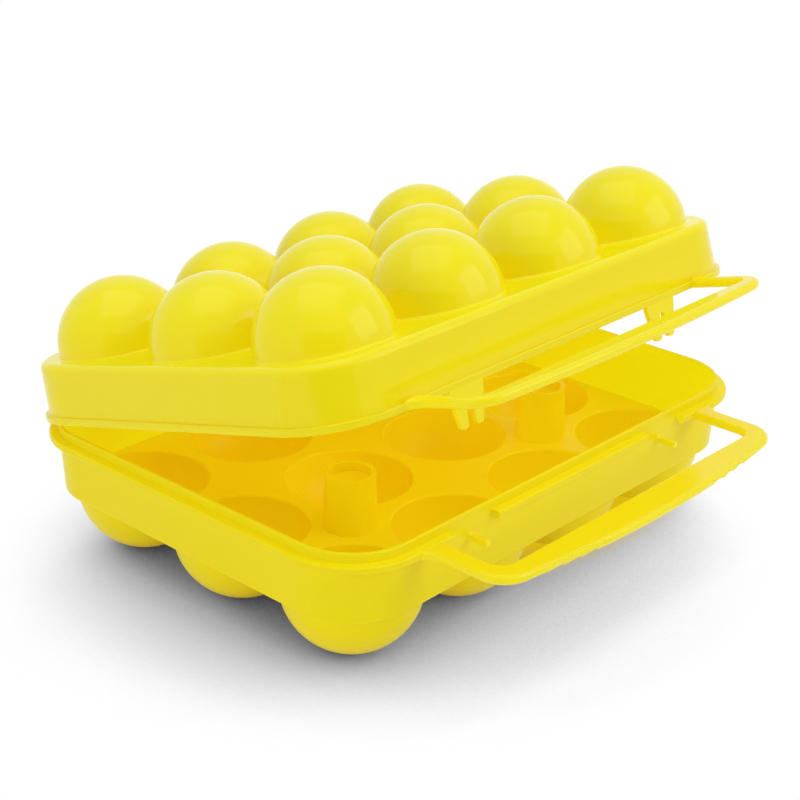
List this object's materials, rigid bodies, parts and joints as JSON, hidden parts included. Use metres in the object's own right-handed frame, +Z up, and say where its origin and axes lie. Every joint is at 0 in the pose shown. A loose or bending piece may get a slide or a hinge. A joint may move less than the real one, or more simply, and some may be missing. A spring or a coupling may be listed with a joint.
{
  "type": "egg storage container",
  "caption": "Moulded egg carrier: a tray of round cups and a domed lid on clip hinges, with snap latches and a split carrying handle.",
  "frame": {"origin": "on the floor plane under the feet of the cups, at the centre of the rest-pose outline", "axes": "+X along the long side, -Y towards the carrying handles, +Y towards the hinges, +Z up"},
  "size_m": [0.197, 0.1864, 0.1149],
  "materials": {
    "yellow_plastic": "smooth, slightly see-through moulded polypropylene"
  },
  "bodies": {
    "base": {"base_cup_back_1": "yellow_plastic", "base_cup_back_2": "yellow_plastic", "base_cup_back_3": "yellow_plastic", "base_cup_back_4": "yellow_plastic", "base_cup_front_1": "yellow_plastic", "base_cup_front_2": "yellow_plastic", "base_cup_front_3": "yellow_plastic", "base_cup_front_4": "yellow_plastic", "base_cup_middle_1": "yellow_plastic", "base_cup_middle_2": "yellow_plastic", "base_cup_middle_3": "yellow_plastic", "base_cup_middle_4": "yellow_plastic", "base_handle": "yellow_plastic", "base_post_left": "yellow_plastic", "base_post_right": "yellow_plastic", "base_rim": "yellow_plastic", "hinge_bracket_left": "yellow_plastic", "hinge_bracket_right": "yellow_plastic", "latch_peg_left": "yellow_plastic", "latch_peg_right": "yellow_plastic"},
    "lid": {"hinge_clip_left": "yellow_plastic", "hinge_clip_right": "yellow_plastic", "lid_dome_back_1": "yellow_plastic", "lid_dome_back_2": "yellow_plastic", "lid_dome_back_3": "yellow_plastic", "lid_dome_back_4": "yellow_plastic", "lid_dome_front_1": "yellow_plastic", "lid_dome_front_2": "yellow_plastic", "lid_dome_front_3": "yellow_plastic", "lid_dome_front_4": "yellow_plastic", "lid_dome_middle_1": "yellow_plastic", "lid_dome_middle_2": "yellow_plastic", "lid_dome_middle_3": "yellow_plastic", "lid_dome_middle_4": "yellow_plastic", "lid_handle": "yellow_plastic", "lid_rim": "yellow_plastic"},
    "tongue_left": {"latch_tongue_left": "yellow_plastic"},
    "tongue_right": {"latch_tongue_right": "yellow_plastic"}
  },
  "joints": [
    {"name": "lid_hinge", "type": "hinge", "parent": "base", "child": "lid", "pos_m": [0, 0.09018, 0.03903], "axis": [-1, 0, 0], "range_deg": [-15.8, 154.2]},
    {"name": "tongue_left_flex", "type": "hinge", "parent": "lid", "child": "tongue_left", "pos_m": [-0.047, -0.05332, 0.08115], "axis": [-1, 0, 0], "range_deg": [-4, 20], "stiffness_Nm_per_rad": 0.05},
    {"name": "tongue_right_flex", "type": "hinge", "parent": "lid", "child": "tongue_right", "pos_m": [0.047, -0.05332, 0.08115], "axis": [-1, 0, 0], "range_deg": [-4, 20], "stiffness_Nm_per_rad": 0.05}
  ]
}
